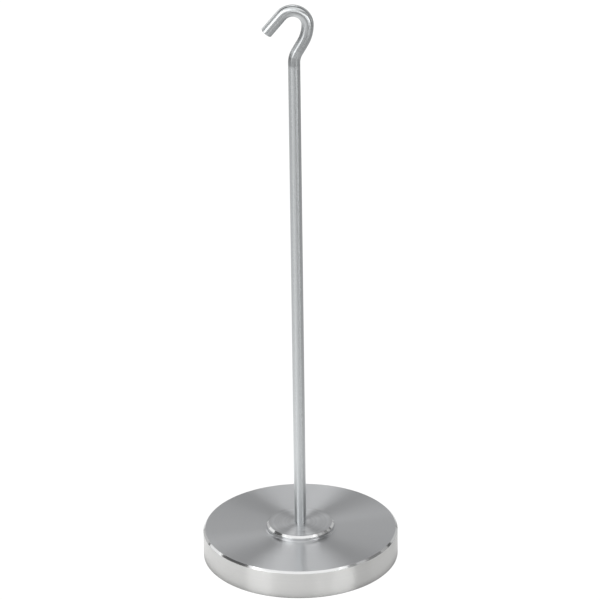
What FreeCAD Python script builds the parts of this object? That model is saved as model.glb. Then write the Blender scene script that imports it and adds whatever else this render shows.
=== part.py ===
"""Free-standing weight hanger: a turned plate with a centring boss, and one bent bar with a hook.

Frame: origin at the middle of the plate's underside, +Z up along the rod, the hook lies in the
XZ plane and opens towards -X. Millimetres.
"""
import FreeCAD, Part
import math
import os

# Plate
plate_diameter = 100.0
plate_thickness = 15.0
plate_top_chamfer = 1.0
plate_foot_chamfer = 0.5

# Centring boss, turned in one with the plate; slotted weights drop over it
boss_diameter = 34.5
boss_height = 3.0
boss_chamfer = 1.0
boss_foot_radius = 1.0

# Rod, one length of drawn bar
rod_diameter = 6.0
overall_height = 300.0
tip_edge_break = 0.25

# Hook: the bar is cranked out, returned to upright and closed round the eye
crank_angle = 30.0
crank_former_radius = 8.5
return_former_radius = 15.5
eye_bore = 8.6
eye_offset = 0.5
eye_wrap_angle = 140.0
tip_straight = 11.5

# Screwed end of the rod and its blind hole; the thread is drawn at its pitch diameter
thread_pitch_diameter = 4.48
thread_outer_diameter = 5.0
screw_length = 10.0
screw_lead_chamfer = 0.6
thread_clearance = 0.05
hole_run_out = 1.5
drill_point_angle = 118.0
mouth_allowance = 0.2

# Worked out from the values above
plate_radius = plate_diameter / 2
boss_radius = boss_diameter / 2
rod_radius = rod_diameter / 2
seat_z = plate_thickness + boss_height
screw_radius = thread_pitch_diameter / 2
hole_radius = screw_radius + thread_clearance
mouth_radius = thread_outer_diameter / 2 + mouth_allowance
mouth_depth = mouth_radius - hole_radius
hole_floor_z = seat_z - screw_length - hole_run_out
drill_point_height = hole_radius / math.tan(math.radians(drill_point_angle / 2))
crank_radius = crank_former_radius + rod_radius
return_radius = return_former_radius + rod_radius
eye_radius = eye_bore / 2 + rod_radius


def point(x, z):
    """A point of the XZ plane, where the turned profile and the rod's centreline are drawn."""
    return FreeCAD.Vector(x, 0, z)


def polyline(corners):
    """Straight edges through a list of (x, z) corners."""
    ends = [point(x, z) for x, z in corners]
    return [Part.LineSegment(a, b).toShape() for a, b in zip(ends, ends[1:])]


def foot_fillet():
    """Quarter circle that the tool's nose leaves where the boss rises from the plate."""
    centre_r = boss_radius + boss_foot_radius
    centre_z = plate_thickness + boss_foot_radius
    reach = boss_foot_radius * math.sin(math.radians(45))
    return Part.Arc(
        point(centre_r, plate_thickness),
        point(centre_r - reach, centre_z - reach),
        point(boss_radius, centre_z),
    ).toShape()


def base_plate():
    """Plate and boss as one turning, with the tapped blind hole for the rod."""
    outside = polyline([
        (0, 0),
        (plate_radius - plate_foot_chamfer, 0),
        (plate_radius, plate_foot_chamfer),
        (plate_radius, plate_thickness - plate_top_chamfer),
        (plate_radius - plate_top_chamfer, plate_thickness),
        (boss_radius + boss_foot_radius, plate_thickness),
    ])
    boss_and_hole = polyline([
        (boss_radius, plate_thickness + boss_foot_radius),
        (boss_radius, seat_z - boss_chamfer),
        (boss_radius - boss_chamfer, seat_z),
        (mouth_radius, seat_z),
        (hole_radius, seat_z - mouth_depth),
        (hole_radius, hole_floor_z),
        (0, hole_floor_z - drill_point_height),
        (0, 0),
    ])
    profile = Part.Wire(outside + [foot_fillet()] + boss_and_hole)
    return Part.Face(profile).revolve(point(0, 0), FreeCAD.Vector(0, 0, 1), 360)


def heading(angle):
    """Unit direction in the XZ plane; 0 is straight up and a positive angle leans towards +X."""
    turn = math.radians(angle)
    return point(math.sin(turn), math.cos(turn))


def straight(start, angle, length):
    """A straight length of bar from start; returns its edge and its end."""
    end = start + heading(angle) * length
    return Part.LineSegment(start, end).toShape(), end


def bend(start, angle, radius, turn):
    """A bend of the bar from start; a positive turn leans it towards +X. Returns edge and end."""
    side = 90 if turn > 0 else -90
    centre = start + heading(angle + side) * radius
    middle = centre - heading(angle + turn / 2 + side) * radius
    end = centre - heading(angle + turn + side) * radius
    return Part.Arc(start, middle, end).toShape(), end


def rod_centreline():
    """Shank, crank, return bend, eye and straight tip, as one tangent path.

    The crank carries the bar out by as much as brings the middle of the eye back over the rod,
    but for the small offset, so that a load in the hook hangs plumb.
    """
    lean = math.radians(crank_angle)
    bends = crank_radius + return_radius
    crank_reach = eye_radius - eye_offset
    crank_length = (crank_reach - bends * (1 - math.cos(lean))) / math.sin(lean)
    rise = bends * math.sin(lean) + crank_length * math.cos(lean) + eye_radius
    shank_length = overall_height - rod_radius - rise - seat_z

    shank, p1 = straight(point(0, seat_z), 0, shank_length)
    crank_bend, p2 = bend(p1, 0, crank_radius, crank_angle)
    crank, p3 = straight(p2, crank_angle, crank_length)
    return_bend, p4 = bend(p3, crank_angle, return_radius, -crank_angle)
    eye, p5 = bend(p4, 0, eye_radius, -eye_wrap_angle)
    tip, _ = straight(p5, -eye_wrap_angle, tip_straight)
    return Part.Wire([shank, crank_bend, crank, return_bend, eye, tip])


def broken_tip(bar, tip_point):
    """The bar with the edge of its square-cut tip broken."""
    rims = [edge for edge in bar.Edges if edge.Closed]
    tip_rim = min(rims, key=lambda rim: rim.CenterOfMass.distanceToPoint(tip_point))
    return bar.makeChamfer(tip_edge_break, [tip_rim])


def screwed_end():
    """The turned-down, screwed end below the shoulder, with a lead chamfer at its bottom."""
    foot_z = seat_z - screw_length
    lead_top_z = foot_z + screw_lead_chamfer
    lead_radius = screw_radius - screw_lead_chamfer
    lead = Part.makeCone(lead_radius, screw_radius, screw_lead_chamfer, point(0, foot_z))
    thread = Part.makeCylinder(screw_radius, seat_z - lead_top_z, point(0, lead_top_z))
    return thread.fuse(lead)


def hook_rod():
    """The bent bar with its hook, and the screwed end that holds it in the plate."""
    path = rod_centreline()
    section = Part.Wire(Part.makeCircle(rod_radius, point(0, seat_z)))
    bar = path.makePipeShell([section], True, False)
    bar = broken_tip(bar, path.OrderedVertexes[-1].Point)
    return bar.fuse(screwed_end()).removeSplitter().Solids[0]


os.makedirs("parts", exist_ok=True)
for name, solid in (("base_plate", base_plate()), ("hook_rod", hook_rod())):
    solid.exportStep("parts/" + name + ".step")
    box = solid.optimalBoundingBox()
    print(name, solid.ShapeType, "valid", solid.isValid(), "volume %.1f mm3" % solid.Volume)
    print("  x %.2f to %.2f, y %.2f to %.2f, z %.2f to %.2f" % (
        box.XMin, box.XMax, box.YMin, box.YMax, box.ZMin, box.ZMax))
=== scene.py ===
# %% [markdown]
# # A weight hanger in stainless steel
# The object is a hanger for slotted weights. A heavy disc is turned from round
# bar, with a low boss in its middle that centres the weights. A 6 mm drawn bar
# is screwed into the boss, and its top is bent into an open hook.
#
# The CAD model already fixes every size. This lesson gives the two pieces the
# smooth forms and the finishes that the steel really has: turned faces whose
# fine rings fan the light out, polished chamfers that mirror the studio, and a
# bent bar that draws every highlight out along its length.

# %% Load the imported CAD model
import math

import bpy
from mathutils import Matrix, Vector


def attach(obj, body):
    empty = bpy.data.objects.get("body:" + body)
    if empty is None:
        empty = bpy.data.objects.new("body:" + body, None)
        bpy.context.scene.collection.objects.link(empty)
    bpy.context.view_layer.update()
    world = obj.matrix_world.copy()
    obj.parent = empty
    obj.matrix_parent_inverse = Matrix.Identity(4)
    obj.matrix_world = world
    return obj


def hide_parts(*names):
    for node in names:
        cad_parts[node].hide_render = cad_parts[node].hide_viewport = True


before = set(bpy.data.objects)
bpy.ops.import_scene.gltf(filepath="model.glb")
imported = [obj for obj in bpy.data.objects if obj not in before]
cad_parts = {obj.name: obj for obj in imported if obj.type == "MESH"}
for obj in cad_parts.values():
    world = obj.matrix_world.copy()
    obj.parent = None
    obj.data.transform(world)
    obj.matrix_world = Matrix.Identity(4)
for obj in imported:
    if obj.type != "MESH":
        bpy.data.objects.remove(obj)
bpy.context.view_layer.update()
MM = 0.001


print("CAD nodes:", sorted(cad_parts))

# %% [markdown]
# ## The camera
# The hanger is shown as a product photographer shows it, from far off through
# a long lens, so that the rod's two edges stay nearly parallel and the disc
# doesn't bulge. A view like this could be set by eye, but the rod is so long
# and thin that half a degree already shows. So the angles are given as
# numbers: the camera looks down by 24 degrees, and it is held slightly out of
# level, which leans the rod to the left by under a degree.

# %% Place the camera
def placed(name, data):
    """A new object of its data, linked into the scene."""
    item = bpy.data.objects.new(name, data)
    bpy.context.scene.collection.objects.link(item)
    return item


camera_distance = 2.0
camera_elevation = math.radians(24.143)
camera_roll = math.radians(0.772)
aim_point = Vector((1.32, 0.0, 142.87)) * MM
sensor_width = 36.0
focal_length = 239.17
nearest_seen, farthest_seen = 0.05, 60.0

look = Vector((0.0, math.cos(camera_elevation), -math.sin(camera_elevation)))
level_right = Vector((1.0, 0.0, 0.0))
level_up = level_right.cross(look)
right = level_right * math.cos(camera_roll) - level_up * math.sin(camera_roll)
up = level_right * math.sin(camera_roll) + level_up * math.cos(camera_roll)
camera_turn = Matrix((right, up, -look)).transposed().to_4x4()

camera_data = bpy.data.cameras.new("product_camera")
camera_data.sensor_width = sensor_width
camera_data.lens = focal_length
camera_data.clip_start = nearest_seen
camera_data.clip_end = farthest_seen
camera = placed("product_camera", camera_data)
camera.matrix_world = Matrix.Translation(aim_point - look * camera_distance) @ camera_turn
bpy.context.scene.camera = camera
print("camera at", [round(v, 3) for v in camera.matrix_world.translation], "m")

# %% [markdown]
# ## Node helpers
# Every finish here is worked out by nodes from where a point lies on the
# piece. Such nodes could be placed by hand in the shader editor, where a long
# sum soon turns into a tangle of wires. Written as short calls it still reads
# like a sum, so each helper adds one node, plugs its inputs and returns what
# comes out.

# %% Short helpers for nodes
def plug(tree, socket, value):
    """Link an output into a socket, or set the socket's own value."""
    if isinstance(value, bpy.types.NodeSocket):
        tree.links.new(value, socket)
    else:
        socket.default_value = value


def added(tree, kind, sockets, **settings):
    """A new node with its settings, and with its inputs plugged by their names."""
    node = tree.nodes.new(kind)
    for setting, value in settings.items():
        setattr(node, setting, value)
    for title, value in sockets.items():
        plug(tree, node.inputs[title], value)
    return node


def number(tree, operation, *values):
    """One Math node."""
    node = added(tree, "ShaderNodeMath", {}, operation=operation)
    for socket, value in zip(node.inputs, values):
        plug(tree, socket, value)
    return node.outputs["Value"]


def vector(tree, operation, *values):
    """One Vector Math node; lengths and dot products come out as a number."""
    node = added(tree, "ShaderNodeVectorMath", {}, operation=operation)
    for socket, value in zip(node.inputs, values):
        plug(tree, socket, value)
    return node.outputs["Value" if operation in ("LENGTH", "DOT_PRODUCT") else "Vector"]


print("ready: plug, added, number and vector")

# %% [markdown]
# ## The steel under every finish
# Disc and bar are the same stainless steel, and only the marks on it differ.
# Each finish could be built from nothing, but then the metal under the marks
# would drift apart. So all of them start from one shader that is fully
# metallic and can spread the light further one way than the other, and from
# one grey that may wander a little over the surface.

# %% Steel that every finish starts from
def bare_steel(name, anisotropy):
    """A new metal material, its node tree and its shader."""
    material = bpy.data.materials.new(name)
    material.use_nodes = True
    shader = material.node_tree.nodes["Principled BSDF"]
    shader.inputs["Metallic"].default_value = 1.0
    shader.inputs["Anisotropic"].default_value = anisotropy
    return material, material.node_tree, shader


def grey_steel(tree, shader, level, tint):
    """Colour the metal by a level of grey, tinted a little in red, green and blue."""
    parts = {title: number(tree, "MULTIPLY", level, part)
             for title, part in zip(("Red", "Green", "Blue"), tint)}
    colour = added(tree, "ShaderNodeCombineColor", parts)
    plug(tree, shader.inputs["Base Color"], colour.outputs["Color"])


print("ready: bare_steel and grey_steel")

# %% [markdown]
# ## Turned steel
# A lathe tool moves a fraction of a millimetre for each turn, so it leaves a
# scalloped groove whose slope swings evenly from one side to the other. The
# grooves run round the axis and spread the light across themselves. That is
# why a faced disc shows bright and dark fans, and why a rod standing on it is
# mirrored as a streak: the surface is rough in one direction only.
#
# A painted picture of fans would stay put when the disc turns. Here the slope
# of the groove itself tilts the shading normal, worked out from the radius on
# a face and from the height on a wall.

# %% Helpers for directions and ranges
def stretched(tree, direction, amount):
    """A vector times a number."""
    node = added(tree, "ShaderNodeVectorMath", {"Vector": direction, "Scale": amount},
                 operation="SCALE")
    return node.outputs["Vector"]


def square_to(tree, first, second):
    """The unit direction at right angles to two others."""
    return vector(tree, "NORMALIZE", vector(tree, "CROSS_PRODUCT", first, second))


def split(tree, place):
    """The X, Y and Z of a vector."""
    return added(tree, "ShaderNodeSeparateXYZ", {"Vector": place}).outputs


def noise(tree, place, scale, detail):
    """Noise that runs from about 0 to 1."""
    node = added(tree, "ShaderNodeTexNoise", {"Vector": place, "Scale": scale, "Detail": detail})
    return node.outputs["Fac"]


def between(tree, value, low, high, start=0.0, end=1.0):
    """A number that goes from low to high while value goes from start to end."""
    node = added(tree, "ShaderNodeMapRange", {
        "Value": value, "From Min": start, "From Max": end, "To Min": low, "To Max": high})
    return node.outputs["Result"]


print("ready: stretched, square_to, split, noise and between")

# %% Directions on a turned surface
def turning_directions(tree):
    """Radius, height, normal and the direction across the grooves."""
    place = tree.nodes.new("ShaderNodeTexCoord").outputs["Object"]
    flat = vector(tree, "MULTIPLY", place, (1.0, 1.0, 0.0))
    radius = vector(tree, "LENGTH", flat)
    height = split(tree, place)["Z"]
    round_axis = square_to(tree, (0.0, 0.0, 1.0), flat)
    normal = tree.nodes.new("ShaderNodeNewGeometry").outputs["Normal"]
    return radius, height, normal, square_to(tree, normal, round_axis)


def groove_slope(tree, travel, cuts):
    """The slope of the scalloped grooves: each set ramps from side to side once a feed."""
    slope = 0.0
    for feed, steepness in cuts:
        phase = number(tree, "FRACT", number(tree, "DIVIDE", travel, feed * MM))
        ramp = number(tree, "MULTIPLY", number(tree, "SUBTRACT", phase, 0.5), 2.0 * steepness)
        slope = number(tree, "ADD", slope, ramp)
    return slope


print("ready: turning_directions and groove_slope")

# %% The recipe for turned steel
roughness_swing = 0.2


def turned_steel(name, tool_moves, cuts, roughness, shade, tint, anisotropy=1.0,
                 rings_per_metre=650.0, ring_contrast=0.04):
    """Steel with grooves round the axis.

    tool_moves says which way the tool went, "out" over a face or "up" a wall.
    cuts lists each set of grooves as its feed per turn in mm and its steepness.
    Wider rings, uneven in width, make the steel lighter and darker by
    ring_contrast and rougher and smoother by roughness_swing.
    """
    material, tree, shader = bare_steel(name, anisotropy)
    radius, height, normal, across = turning_directions(tree)
    travel = {"out": radius, "up": height}[tool_moves]
    ring_place = added(tree, "ShaderNodeCombineXYZ", {"X": travel}).outputs["Vector"]
    rings = noise(tree, ring_place, rings_per_metre, detail=3.0)
    tilt = stretched(tree, across, groove_slope(tree, travel, cuts))
    plug(tree, shader.inputs["Normal"],
         vector(tree, "NORMALIZE", vector(tree, "ADD", normal, tilt)))
    plug(tree, shader.inputs["Tangent"], across)
    smoother, rougher = roughness * (1 - roughness_swing), roughness * (1 + roughness_swing)
    plug(tree, shader.inputs["Roughness"], between(tree, rings, smoother, rougher))
    darker, lighter = shade * (1 - ring_contrast), shade * (1 + ring_contrast)
    grey_steel(tree, shader, between(tree, rings, darker, lighter), tint)
    return material


print("roughness swings by a share of", roughness_swing, "from ring to ring")

# %% [markdown]
# ## The finishes of the plate
# A turner finishes each surface with its own tool and feed. The disc is faced
# finely above and below, the boss's face shows wider waves as well, and the
# wall has steeper grooves. The chamfers are polished until they mirror the
# studio, and the hole stays as the drill left it. One material could hold all
# five behind masks, but calling one recipe five times keeps each surface as
# easy to change as it is in the workshop.

# %% The finishes of the plate
facing_cuts = [(0.25, 0.06), (0.17, 0.04)]
cold_tint = (0.98, 0.995, 1.015)

faced_steel = turned_steel(
    "faced_steel", "out", facing_cuts, roughness=0.32, shade=0.58, tint=cold_tint)
boss_face_steel = turned_steel(
    "boss_face_steel", "out", facing_cuts + [(2.6, 0.10)], roughness=0.31, shade=0.58,
    tint=cold_tint, rings_per_metre=400.0, ring_contrast=0.30)
wall_steel = turned_steel(
    "turned_wall_steel", "up", [(0.20, 0.14), (0.13, 0.10)], roughness=0.31, shade=0.685,
    tint=(1.0, 1.0, 0.985))
chamfer_steel = turned_steel(
    "polished_chamfer_steel", "up", [], roughness=0.09, shade=0.78, tint=(0.99, 1.0, 1.0),
    anisotropy=0.3)
bored_steel = turned_steel(
    "bored_steel", "up", [(0.15, 0.05)], roughness=0.35, shade=0.50, tint=(1.0, 1.0, 1.0))
for material in (faced_steel, boss_face_steel, wall_steel, chamfer_steel, bored_steel):
    print("finish", material.name, "with", len(material.node_tree.nodes), "nodes")

# %% [markdown]
# ## The base plate
# The disc, its boss and the foot radius between them are one turning. They
# could be a stack of cylinders joined by Boolean modifiers, which leaves an
# untidy mesh at each join. So they are made as a lathe makes them: one
# outline, swept round the axis. The outline starts in the middle of the
# underside, goes up the outside, and ends in the tapped hole that the rod is
# screwed into.

# %% The outline of the turning, in millimetres
plate_radius = 50.0
plate_thickness = 15.0
plate_chamfer = 1.0
plate_foot_chamfer = 0.5
boss_radius = 17.25
boss_top = 18.0
boss_chamfer = 1.0
foot_radius = 1.0
mouth_radius = 2.7
hole_radius = 2.29
hole_floor = 6.5
drill_point = 5.124
edge_break = 0.08
hole_edge_break = 0.04

plate_outline = [
    # radius, height, rounding of the corner, finish of the run that leaves it
    (0.0, 0.0, 0.0, faced_steel),
    (plate_radius - plate_foot_chamfer, 0.0, edge_break, chamfer_steel),
    (plate_radius, plate_foot_chamfer, edge_break, wall_steel),
    (plate_radius, plate_thickness - plate_chamfer, edge_break, chamfer_steel),
    (plate_radius - plate_chamfer, plate_thickness, edge_break, faced_steel),
    (boss_radius, plate_thickness, foot_radius, chamfer_steel),
    (boss_radius, boss_top - boss_chamfer, edge_break, chamfer_steel),
    (boss_radius - boss_chamfer, boss_top, edge_break, boss_face_steel),
    (mouth_radius, boss_top, hole_edge_break, bored_steel),
    (hole_radius, boss_top - (mouth_radius - hole_radius), hole_edge_break, bored_steel),
    (hole_radius, hole_floor, hole_edge_break, bored_steel),
    (0.0, drill_point, 0.0, bored_steel),
]
print("outline reaches radius", max(corner[0] for corner in plate_outline),
      "and height", max(corner[1] for corner in plate_outline))

# %% [markdown]
# ## Broken edges
# Each corner of a real turning is broken by a few hundredths of a millimetre.
# That tiny rounding gives the thin bright line that a knife-sharp edge in a
# computer never shows. A Bevel modifier could make it, but the boss's foot
# needs a radius of its own, and the finishes have to change at the right side
# of each corner. So the outline itself is rounded, before it is swept.

# %% Rounding the corners
def rounded_outline(corners, steps=5, guard=0.05, fillet_from=0.5):
    """Points (radius, height, finish) with each corner rounded and guarded by a close point.

    The guard points keep the flat runs flat: without them the smooth shading of
    a rounded corner would creep across the whole face. A rounding of fillet_from
    or more is cut together with the run before it, and has that run's finish.
    """
    points = []
    for i, (r, z, rounding, finish) in enumerate(corners):
        if not rounding:
            points.append((r, z, finish))
            continue
        here = Vector((r, z))
        to_last = (Vector(corners[i - 1][:2]) - here).normalized()
        to_next = (Vector(corners[i + 1][:2]) - here).normalized()
        half = to_last.angle(to_next) / 2
        reach = rounding / math.tan(half)
        centre = here + (to_last + to_next).normalized() * (rounding / math.sin(half))
        start, end = here + to_last * reach, here + to_next * reach
        turn = (start - centre).angle_signed(end - centre)
        last_finish = points[-1][2]
        points.append((*(start + to_last * guard), last_finish))
        for k in range(steps + 1):
            arm = start - centre
            arm.rotate(Matrix.Rotation(-turn * k / steps, 2))
            points.append((*(centre + arm), finish if rounding < fillet_from else last_finish))
        points.append((*(end + to_next * guard), finish))
    return points


plate_points = rounded_outline(plate_outline)
print(len(plate_points), "points on the rounded outline")

# %% Rings of points round the axis
steps_round = 360


def swept_rings(points, segments):
    """Vertices in metres and one ring of their numbers for each point of the outline."""
    vertices, rings = [], []
    for r, z, _ in points:
        first = len(vertices)
        if r == 0.0:
            vertices.append((0.0, 0.0, z * MM))
            rings.append([first] * segments)
            continue
        for k in range(segments):
            angle = 2 * math.pi * k / segments
            vertices.append((r * math.cos(angle) * MM, r * math.sin(angle) * MM, z * MM))
        rings.append(list(range(first, first + segments)))
    return vertices, rings


print("one step round the rim is %.2f mm" % (2 * math.pi * plate_radius / steps_round))

# %% Sweeping it round the axis
def turned_piece(name, points, segments):
    """Closed piece of an outline (radius, height, finish) in mm, swept round the axis."""
    vertices, rings = swept_rings(points, segments)
    finishes = list(dict.fromkeys(finish for _, _, finish in points))
    faces, finish_numbers = [], []
    for lower, upper, (_, _, finish) in zip(rings, rings[1:], points):
        for k in range(segments):
            after = (k + 1) % segments
            corners = [lower[k], lower[after], upper[after], upper[k]]
            # on the axis two corners are the same, and the face is a triangle
            faces.append(list(dict.fromkeys(corners)))
            finish_numbers.append(finishes.index(finish))
    mesh = bpy.data.meshes.new(name)
    mesh.from_pydata(vertices, [], faces)
    for finish in finishes:
        mesh.materials.append(finish)
    mesh.polygons.foreach_set("material_index", finish_numbers)
    mesh.shade_smooth()
    mesh.validate()
    mesh.update()
    return placed(name, mesh)


base_plate = turned_piece("base_plate_turned", plate_points, steps_round)
print("base plate:", len(base_plate.data.polygons), "faces")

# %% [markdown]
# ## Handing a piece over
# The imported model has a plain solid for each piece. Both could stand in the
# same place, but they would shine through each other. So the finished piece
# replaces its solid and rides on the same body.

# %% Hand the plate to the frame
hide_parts("base_plate")
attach(base_plate, "root")
print(base_plate.name, "stands in for the CAD node base_plate")

# %% [markdown]
# ## The path of the bar
# A bender cranks the bar out by 30 degrees, brings it back upright and closes
# the eye over the rod, so that the disc hangs plumb under whatever carries the
# hook. The path could be a Bezier curve drawn by eye, but a bending tool makes
# true arcs that run smoothly into the straights. So the path is walked as the
# bender works: straight runs and bends of a given radius, with a point for
# every two degrees of a bend.

# %% The sizes of the bar, in millimetres
seat_height = boss_top
overall_height = 300.0
rod_radius = 3.0
crank_angle = 30.0
crank_radius = 11.5
return_radius = 18.5
eye_radius = 7.3
eye_offset = 0.5
eye_wrap = 140.0
tip_straight = 11.5

lean = math.radians(crank_angle)
crank_reach = (eye_radius - eye_offset) - (crank_radius + return_radius) * (1 - math.cos(lean))
crank_length = crank_reach / math.sin(lean)
rise = ((crank_radius + return_radius) * math.sin(lean)
        + crank_length * math.cos(lean) + eye_radius)
shank_length = overall_height - rod_radius - rise - seat_height
print("shank %.2f mm, crank %.2f mm" % (shank_length, crank_length))

# %% Walking along the bar
def heading(angle):
    """Direction in the XZ plane: 0 is up, a positive angle leans towards +X."""
    return Vector((math.sin(math.radians(angle)), 0.0, math.cos(math.radians(angle))))


def walk_straight(path, angle, length, spacing):
    """Add points along a straight run."""
    start = path[-1].copy()
    steps = max(1, round(length / spacing))
    for k in range(1, steps + 1):
        path.append(start + heading(angle) * (length * k / steps))


def walk_bend(path, angle, radius, turn, per_step=2.0):
    """Add points round a bend that turns the heading."""
    side = 90 if turn > 0 else -90
    centre = path[-1] + heading(angle + side) * radius
    steps = max(1, round(abs(turn) / per_step))
    for k in range(1, steps + 1):
        path.append(centre - heading(angle + turn * k / steps + side) * radius)


bar_path = [Vector((0.0, 0.0, seat_height))]
walk_straight(bar_path, 0.0, shank_length, spacing=4.0)
walk_bend(bar_path, 0.0, crank_radius, crank_angle)
walk_straight(bar_path, crank_angle, crank_length, spacing=1.0)
walk_bend(bar_path, crank_angle, return_radius, -crank_angle)
walk_bend(bar_path, 0.0, eye_radius, -eye_wrap)
walk_straight(bar_path, -eye_wrap, tip_straight, spacing=1.0)
print(len(bar_path), "points on the path, top of the eye at %.2f mm"
      % (max(p.z for p in bar_path) + rod_radius))

# %% [markdown]
# ## Drawn steel
# Bar is pulled through a die, which leaves a faint grain along its length, and
# is then polished while it spins. These last marks run round the bar: they
# stretch a highlight along it and leave it sharp from side to side.
#
# A grain in object coordinates would cut straight through the bends, so the
# material reads where each point lay on the bar before it was bent. The node
# tree that sweeps the bar stores that place, and the bar's own direction, as
# attributes.

# %% Directions on the bar
def stored(tree, title):
    """A vector that the mesh of the bar stores at each of its points."""
    return added(tree, "ShaderNodeAttribute", {}, attribute_name=title).outputs["Vector"]


def bar_directions(tree):
    """Place on the unbent bar, then the directions along it, out of it and round it."""
    along = stored(tree, "along_the_bar")
    normal = tree.nodes.new("ShaderNodeNewGeometry").outputs["Normal"]
    return stored(tree, "place_on_straight_bar"), along, normal, square_to(tree, along, normal)


print("ready: stored and bar_directions")

# %% [markdown]
# ## Ripples and painted shade at the bends
# Where the bar is bent, its surface is rippled a little, and its colour is
# darkened unevenly as painted shade, which also dims the highlights there. Both
# are strongest at the two bends of the crank, and more on one side of the bar.
# They could be painted by hand on the mesh, but the travel along the bar already
# tells where each bend is. So a curve gives their amount by that travel, and is
# easy to shift.

# %% A curve that a number is read off
def read_off(tree, value, levels, handles="AUTO"):
    """The height of a curve through levels at value, both from 0 to 1."""
    node = added(tree, "ShaderNodeFloatCurve", {"Value": value})
    node.mapping.extend = "HORIZONTAL"
    curve = node.mapping.curves[0]
    curve.points[0].location = levels[0]
    curve.points[1].location = levels[-1]
    for level in levels[1:-1]:
        curve.points.new(*level)
    for point in curve.points:
        point.handle_type = handles
    node.mapping.update()
    return node.outputs["Value"]


print("ready: read_off")

# %% Where the bends are rippled and given painted shade
bend_shade_and_ripple_levels = (
    # travel along the bar from its screwed end in mm, how strong the ripple and the painted shade
    # are
    (250, 0), (259, 0), (262, 1), (264, 1), (267, 0.25), (270, 0.75), (276, 0.85),
    (281, 0.15), (286, 0.1), (296, 0.25), (310, 0.25))
# X on the unbent bar in mm where the ripple and the painted shade are strongest and weakest, and
# the share left on the weakest side
strongest_side, weakest_side = -1.5, 3.0
share_on_weakest_side = 0.2


def bend_ripple_and_painted_shade(tree, place):
    """From 0 to 1: how strong the ripple and the painted shade are at a place on the bar before
    it was bent.
    """
    first, last = bend_shade_and_ripple_levels[0][0], bend_shade_and_ripple_levels[-1][0]
    levels = [((travel - first) / (last - first), level) for travel, level in bend_shade_and_ripple_levels]
    share = between(tree, split(tree, place)["Z"], 0.0, 1.0, first * MM, last * MM)
    towards_strongest_side = between(tree, split(tree, place)["X"], 1.0, share_on_weakest_side,
                               strongest_side * MM, weakest_side * MM)
    return number(tree, "MULTIPLY", read_off(tree, share, levels), towards_strongest_side)


# the ripple and the painted shade start at this travel along the bar
print("the bender rubbed the bar from", bend_shade_and_ripple_levels[1][0], "mm of its length upwards")

# %% How the grain and the bends tilt the surface
grain_tilt = 0.015
ripple_tilt = 0.2


def bar_normal(tree, place, grain, ripple_and_shade):
    """The normal, tilted round the bar by its grain, and along it by the ripples at the bends."""
    _, along, normal, around = bar_directions(tree)
    grain_leans = stretched(tree, around, between(tree, grain, -grain_tilt, grain_tilt))
    ripple = between(tree, noise(tree, place, scale=130.0, detail=1.0), -ripple_tilt, ripple_tilt)
    ripple_leans = stretched(tree, along, number(tree, "MULTIPLY", ripple_and_shade, ripple))
    leaning = vector(tree, "ADD", vector(tree, "ADD", normal, grain_leans), ripple_leans)
    return vector(tree, "NORMALIZE", leaning)


print("the grain tilts the surface by up to %.1f degrees" % math.degrees(grain_tilt))

# %% The finish of the bar
drawn_out = (1.0, 1.0, 0.012)
grain_contrast = 0.03
# painted shade: how much the colour is darkened at the bends, at least and at most
least_painted_shade, most_painted_shade = 0.10, 0.55


def drawn_steel_finish(shade, tint, smoothest, roughest):
    """Steel with a grain along the bar, marks of handling, ripples at the bends, and painted
    shade that darkens the bends.
    """
    material, tree, shader = bare_steel("drawn_bar_steel", anisotropy=1.0)
    place, along, _, _ = bar_directions(tree)
    ripple_and_shade = bend_ripple_and_painted_shade(tree, place)
    grain = noise(tree, vector(tree, "MULTIPLY", place, drawn_out), scale=2600.0, detail=2.0)
    handling = noise(tree, place, scale=60.0, detail=3.0)
    plug(tree, shader.inputs["Normal"], bar_normal(tree, place, grain, ripple_and_shade))
    plug(tree, shader.inputs["Tangent"], along)
    plug(tree, shader.inputs["Roughness"], between(tree, handling, smoothest, roughest))
    # painted shade: the colour is darkened unevenly at the bends
    shade_breakup = noise(tree, place, scale=240.0, detail=2.0)
    painted_bend_shade = number(tree, "MULTIPLY", ripple_and_shade, between(tree, shade_breakup, least_painted_shade, most_painted_shade))
    lightness = number(tree, "MULTIPLY", number(tree, "SUBTRACT", 1.0, painted_bend_shade),
                       between(tree, grain, 1 - grain_contrast, 1 + grain_contrast))
    grey_steel(tree, shader, between(tree, lightness, 0.0, shade), tint)
    return material


drawn_steel = drawn_steel_finish(
    shade=0.68, tint=(0.97, 1.0, 1.015), smoothest=0.22, roughest=0.26)
print("finish", drawn_steel.name, "with", len(drawn_steel.node_tree.nodes), "nodes")

# %% [markdown]
# ## Sweeping the bar with Geometry Nodes
# The rod is one bar from the screwed end to the tip of the hook. It could be
# sculpted, or joined from cylinders and pieces of rings, but a round section
# that follows a path is a rule, so a node tree makes it. Its inputs are a chain
# of points, the bar's radius, the number of its sides and its finish. How
# thick the section is at each point comes with the chain, which lets the
# screwed end be thinner and breaks the edge of the sawn tip.

# %% The chain of points that the tree reads
screw_radius = 2.24
screw_length = 10.0
lead_chamfer = 0.6
tip_edge_break = 0.25
shoulder_step = 0.005

screw_foot = seat_height - screw_length
screwed_end = [
    # height, radius; the shoulder is a cone so flat that it looks square
    (screw_foot, screw_radius - lead_chamfer),
    (screw_foot + lead_chamfer, screw_radius),
    (seat_height - shoulder_step, screw_radius),
]
chain = [(Vector((0.0, 0.0, z)), r / rod_radius) for z, r in screwed_end]
chain += [(p, 1.0) for p in bar_path[:-1]]
chain += [(bar_path[-1] - heading(-eye_wrap) * tip_edge_break, 1.0),
          (bar_path[-1], (rod_radius - tip_edge_break) / rod_radius)]

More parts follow.
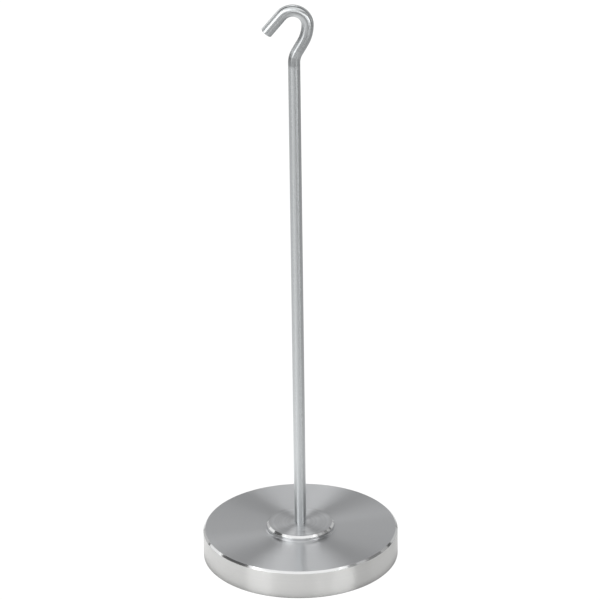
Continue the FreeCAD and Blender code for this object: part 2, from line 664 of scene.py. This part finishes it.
links = [(i, i + 1) for i in range(len(chain) - 1)]
chain_mesh = bpy.data.meshes.new("chain_of_points")
chain_mesh.from_pydata([p * MM for p, _ in chain], links, [])
scale_store = chain_mesh.attributes.new("section_scale", "FLOAT", "POINT")
scale_store.data.foreach_set("value", [scale for _, scale in chain])
hook_rod = placed("hook_rod_bar", chain_mesh)
print(len(chain), "points on the chain")

# %% The tree and its sockets
bent_bar = bpy.data.node_groups.new("bent_bar", "GeometryNodeTree")
for title, kind in (("Chain", "Geometry"), ("Bar radius", "Float"), ("Sides", "Int"),
                    ("Finish", "Material")):
    bent_bar.interface.new_socket(title, in_out="INPUT", socket_type="NodeSocket" + kind)
bent_bar.interface.new_socket("Bar", in_out="OUTPUT", socket_type="NodeSocketGeometry")
given = bent_bar.nodes.new("NodeGroupInput")
made = bent_bar.nodes.new("NodeGroupOutput")
position = bent_bar.nodes.new("GeometryNodeInputPosition").outputs["Position"]
print("inputs of the tree:", [socket.name for socket in given.outputs if socket.name])

# %% What each point of the path has to remember
on_the_path = (
    ("VECTOR", "Centre", position),
    ("VECTOR", "Direction", bent_bar.nodes.new("GeometryNodeInputTangent").outputs["Tangent"]),
    ("FLOAT", "Travel", bent_bar.nodes.new("GeometryNodeSplineParameter").outputs["Length"]),
)
to_curve = added(bent_bar, "GeometryNodeMeshToCurve", {"Mesh": given.outputs["Chain"]})
kept = bent_bar.nodes.new("GeometryNodeCaptureAttribute")
for kind, title, _ in on_the_path:
    kept.capture_items.new(kind, title)
plug(bent_bar, kept.inputs["Geometry"], to_curve.outputs["Curve"])
for _, title, source in on_the_path:
    plug(bent_bar, kept.inputs[title], source)
print("kept from the path:", [item.name for item in kept.capture_items])

# %% Sweep the section along the path
section = added(bent_bar, "GeometryNodeCurvePrimitiveCircle", {
    "Radius": given.outputs["Bar radius"], "Resolution": given.outputs["Sides"]})
section_scale = added(bent_bar, "GeometryNodeInputNamedAttribute", {"Name": "section_scale"},
                      data_type="FLOAT")
sweep = added(bent_bar, "GeometryNodeCurveToMesh", {
    "Curve": kept.outputs["Geometry"], "Profile Curve": section.outputs["Curve"],
    "Scale": section_scale.outputs["Attribute"], "Fill Caps": True})
print("the sweep closes its ends:", sweep.inputs["Fill Caps"].default_value)

# %% Where each point lay before the bar was bent
# the hook lies in the XZ plane: Y stays as it is, and only the sideways direction turns
arm = vector(bent_bar, "SUBTRACT", position, kept.outputs["Centre"])
sideways = vector(bent_bar, "CROSS_PRODUCT", (0.0, 1.0, 0.0), kept.outputs["Direction"])
unbent = added(bent_bar, "ShaderNodeCombineXYZ", {
    "X": vector(bent_bar, "DOT_PRODUCT", arm, sideways),
    "Y": split(bent_bar, arm)["Y"],
    "Z": kept.outputs["Travel"]})

bar = sweep.outputs["Mesh"]
for title, source in (("place_on_straight_bar", unbent.outputs["Vector"]),
                      ("along_the_bar", kept.outputs["Direction"])):
    store = added(bent_bar, "GeometryNodeStoreNamedAttribute",
                  {"Geometry": bar, "Name": title, "Value": source},
                  data_type="FLOAT_VECTOR", domain="POINT")
    bar = store.outputs["Geometry"]
    print("the mesh of the bar stores", title)

# %% Make it real and give it its finish
real = added(bent_bar, "GeometryNodeRealizeInstances", {"Geometry": bar})
finished = added(bent_bar, "GeometryNodeSetMaterial", {
    "Geometry": real.outputs["Geometry"], "Material": given.outputs["Finish"]})
plug(bent_bar, made.inputs["Bar"], finished.outputs["Geometry"])
print("tree", bent_bar.name, "has", len(bent_bar.nodes), "nodes")

# %% Run the tree and keep its result
def set_input(modifier, title, value):
    """Set a tree's input by the identifier of its socket."""
    for item in modifier.node_group.interface.items_tree:
        if item.name == title and item.in_out == "INPUT":
            modifier[item.identifier] = value


bar_sides = 96
sharp_from = math.radians(32)

sweeping = hook_rod.modifiers.new("bent_bar", "NODES")
sweeping.node_group = bent_bar
set_input(sweeping, "Bar radius", rod_radius * MM)
set_input(sweeping, "Sides", bar_sides)
set_input(sweeping, "Finish", drawn_steel)
bpy.context.view_layer.update()
evaluated = hook_rod.evaluated_get(bpy.context.evaluated_depsgraph_get())
bar_mesh = bpy.data.meshes.new_from_object(evaluated)
hook_rod.modifiers.clear()
hook_rod.data = bar_mesh
bar_mesh.name = "hook_rod_bar"
bar_mesh.shade_smooth()
bar_mesh.set_sharp_from_angle(angle=sharp_from)
print("bar:", len(bar_mesh.polygons), "faces")

# %% Hand the rod to the frame
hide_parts("hook_rod")
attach(hook_rod, "root")
print(hook_rod.name, "stands in for the CAD node hook_rod")

# %% [markdown]
# ## The studio
# Steel has no colour of its own to show: it shows the room. A picture of a
# room could wrap the scene, but then no single reflection could be moved. So
# the studio is built from a table, soft panels and a plain room, each of them
# placed for the part of the steel that mirrors it.

# %% [markdown]
# ## The table
# The hanger stands on a pale table that glows, which the wall of the disc and
# the upright bar mirror. A lit white plane would do for the camera, but its
# reflection would be as bright near the disc as far away. So the glow is set
# by nodes as painted light: a painted shadow dark under the plate's foot,
# painted light brighter on the left than on the right, and a glow that fades
# out far away. To the camera it is plain white.

# %% How brightly the table glows
# painted light: the low radiance out to 0.053 m is a painted shadow round the plate's foot, and
# the drop beyond 0.12 m is painted fading of the light
table_levels = (
    # distance from the middle in m, radiance
    (0.0, 0.2), (0.0503, 0.22), (0.053, 1.0), (0.12, 1.0), (0.20, 0.70), (0.75, 0.60),
    (1.0, 0.20))
side_reach = 0.1
# painted light: the table glows brighter on the left than on the right
on_the_left, on_the_right = 1.19, 0.71
white_to_the_camera = 1.05


def table_glow(tree):
    """The radiance of the table, as the steel mirrors it and as the camera sees it."""
    place = tree.nodes.new("ShaderNodeTexCoord").outputs["Object"]
    rings = read_off(tree, vector(tree, "LENGTH", place), table_levels, handles="VECTOR")
    sides = between(tree, split(tree, place)["X"], on_the_left, on_the_right,
                    -side_reach, side_reach)
    seen = tree.nodes.new("ShaderNodeLightPath").outputs["Is Camera Ray"]
    mirrored = number(tree, "MULTIPLY", number(tree, "MULTIPLY", rings, sides),
                      number(tree, "SUBTRACT", 1.0, seen))
    return number(tree, "ADD", mirrored, number(tree, "MULTIPLY", seen, white_to_the_camera))


print("the table glows from", min(level for _, level in table_levels),
      "to", max(level for _, level in table_levels))


# %% The table itself
def light_table(size):
    """A square pale floor that glows."""
    half = size / 2
    corners = [(-half, -half, 0), (half, -half, 0), (half, half, 0), (-half, half, 0)]
    mesh = bpy.data.meshes.new("light_table")
    mesh.from_pydata(corners, [], [(0, 1, 2, 3)])
    material = bpy.data.materials.new("white_acrylic")
    material.use_nodes = True
    tree = material.node_tree
    tree.nodes.remove(tree.nodes["Principled BSDF"])
    glow = added(tree, "ShaderNodeEmission", {"Strength": table_glow(tree)})
    plug(tree, tree.nodes["Material Output"].inputs["Surface"], glow.outputs["Emission"])
    mesh.materials.append(material)
    return placed("light_table", mesh)


table = light_table(size=12.0)
print("the table:", len(table.data.polygons), "face,", table.data.materials[0].name)

# %% [markdown]
# ## The lamps
# The faced top mirrors what stands behind it: a grey wall, and a panel above
# that wall for the bright wedge in front of the boss. The 45 degree chamfers
# see a ring of the room, from high above the front to low at the back. Small
# cards fill parts of that ring and the gaps between them stay dark: they draw
# the black dashes that make steel look like steel.
#
# Panels could be pushed about by hand until they look right, but a mirror
# knows angles only. So they are placed and sized by the angles that they fill
# from the hanger, all but the level panel above the rear wall. The camera sees
# none of them.

# %% Soft panels
panel_distance = 1.6


def soft_panel(name, centre, facing, width, height, radiance):
    """A rectangular soft light of an even radiance, which shows in reflections only."""
    data = bpy.data.lights.new(name, "AREA")
    data.shape = "RECTANGLE"
    data.size = width
    data.size_y = height
    data.energy = radiance * width * height * math.pi
    lamp = placed(name, data)
    lamp.location = centre
    lamp.rotation_mode = "QUATERNION"
    lamp.rotation_quaternion = (Vector(facing) - Vector(centre)).to_track_quat("-Z", "Y")
    lamp.visible_camera = False


def side_of_angle(degrees):
    """How wide a panel is that fills an angle from the hanger."""
    return 2 * panel_distance * math.tan(math.radians(degrees / 2))


def standing_panel(name, azimuth, elevation, wide, high, radiance):
    """A panel that faces the hanger, by angles in degrees.

    Azimuth 0 is towards the camera and 90 to the right.
    """
    a, e = math.radians(azimuth), math.radians(elevation)
    outward = Vector((math.sin(a) * math.cos(e), -math.cos(a) * math.cos(e), math.sin(e)))
    soft_panel(name, outward * panel_distance, (0.0, 0.0, 0.0),
               side_of_angle(wide), side_of_angle(high), radiance)


print("a panel that fills 30 degrees is %.2f m wide" % side_of_angle(30))

# %% Set them round the hanger
soft_panel("rear_overhead_panel", centre=(0.0, 0.875, 1.55), facing=(0.0, 0.8751, 0.0),
           width=0.62, height=0.85, radiance=1.55)
for panel in (
    # name, azimuth, elevation, width and height in degrees, radiance
    ("overhead_panel", -5, 72, 68, 42, 0.95),
    ("left_top_card", -79.5, 52.5, 14, 11, 1.0),
    ("right_top_card", 72, 55.2, 14, 11, 0.85),
    ("right_grey_card", 92.5, 45, 17, 14, 0.26),
    ("right_dim_card", 106, 35, 14, 14, 0.13),
    ("left_softbox", -50, 29.5, 28, 45, 2.0),
    ("front_wall", 0, 14, 72, 24, 0.50),
    ("right_front_card", 26, 9, 22, 14, 1.5),
    ("front_canopy", -12, 40, 46, 24, 1.40),
    ("right_softbox", 49, 14, 24, 22, 2.8),
    ("right_card", 76, 32, 24, 46, 0.20),
    ("right_low_card", 104, 10, 40, 16, 0.75),
    ("right_rear_card", 117, 29, 9, 14, 0.33),
    ("rear_wall", 179, 28.5, 95, 56, 0.48),
    ("left_low_card", -90, 22, 40, 16, 1.30),
    ("left_rear_card", -130, 27, 36, 19, 0.85),
):
    standing_panel(*panel)

# %% [markdown]
# ## The room
# Between the panels the steel mirrors the rest of the studio, which is dim,
# while behind the hanger the backdrop is white. One world colour can't be
# both, so the Light Path node chooses: white for what the camera sees, and a
# dark grey for every reflection.

# %% The room
world = bpy.data.worlds.new("studio")
world.use_nodes = True
room = world.node_tree
backdrop = room.nodes["Background"]
backdrop.inputs["Color"].default_value = (1.0, 1.0, 1.0, 1.0)
dim_walls = added(room, "ShaderNodeBackground", {"Color": (0.12, 0.12, 0.12, 1.0)})
seen = room.nodes.new("ShaderNodeLightPath").outputs["Is Camera Ray"]
choice = room.nodes.new("ShaderNodeMixShader")
for socket, source in zip(choice.inputs, (seen, dim_walls.outputs[0], backdrop.outputs[0])):
    plug(room, socket, source)
plug(room, room.nodes["World Output"].inputs["Surface"], choice.outputs[0])
bpy.context.scene.world = world
bpy.context.scene.view_settings.view_transform = "Standard"
print("world", world.name, "has", len(room.nodes), "nodes")
